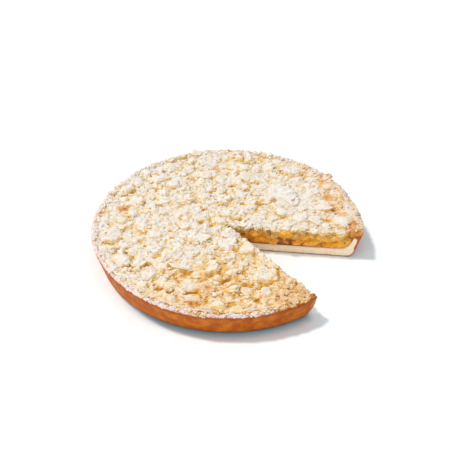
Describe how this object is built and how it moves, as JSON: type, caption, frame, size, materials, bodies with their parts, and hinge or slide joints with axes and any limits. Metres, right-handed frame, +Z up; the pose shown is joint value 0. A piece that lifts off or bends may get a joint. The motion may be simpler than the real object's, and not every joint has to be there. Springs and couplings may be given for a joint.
{
  "type": "apple crumble pie",
  "caption": "Round apple crumble pie with one slice cut out, showing its base, apple filling and sugared crumble.",
  "frame": {"origin": "centre of the round base, on the face it rests on", "axes": "+Z up, square to the base; the missing slice lies between 6.7 and 51.8 degrees from +X towards -Y"},
  "size_m": [0.2711, 0.27, 0.0353],
  "materials": {
    "baked_crust": "baked golden brown crust with fine pores, pale where it is cut, sugar along the rim",
    "cooked_apple": "moist amber apple pieces with a soft gloss",
    "sugared_crumble": "matte cream crumbs dusted with icing sugar, golden in the gaps"
  },
  "bodies": {
    "root": {"crust": "baked_crust", "apple_filling": "cooked_apple", "crumble": "sugared_crumble"}
  },
  "joints": []
}
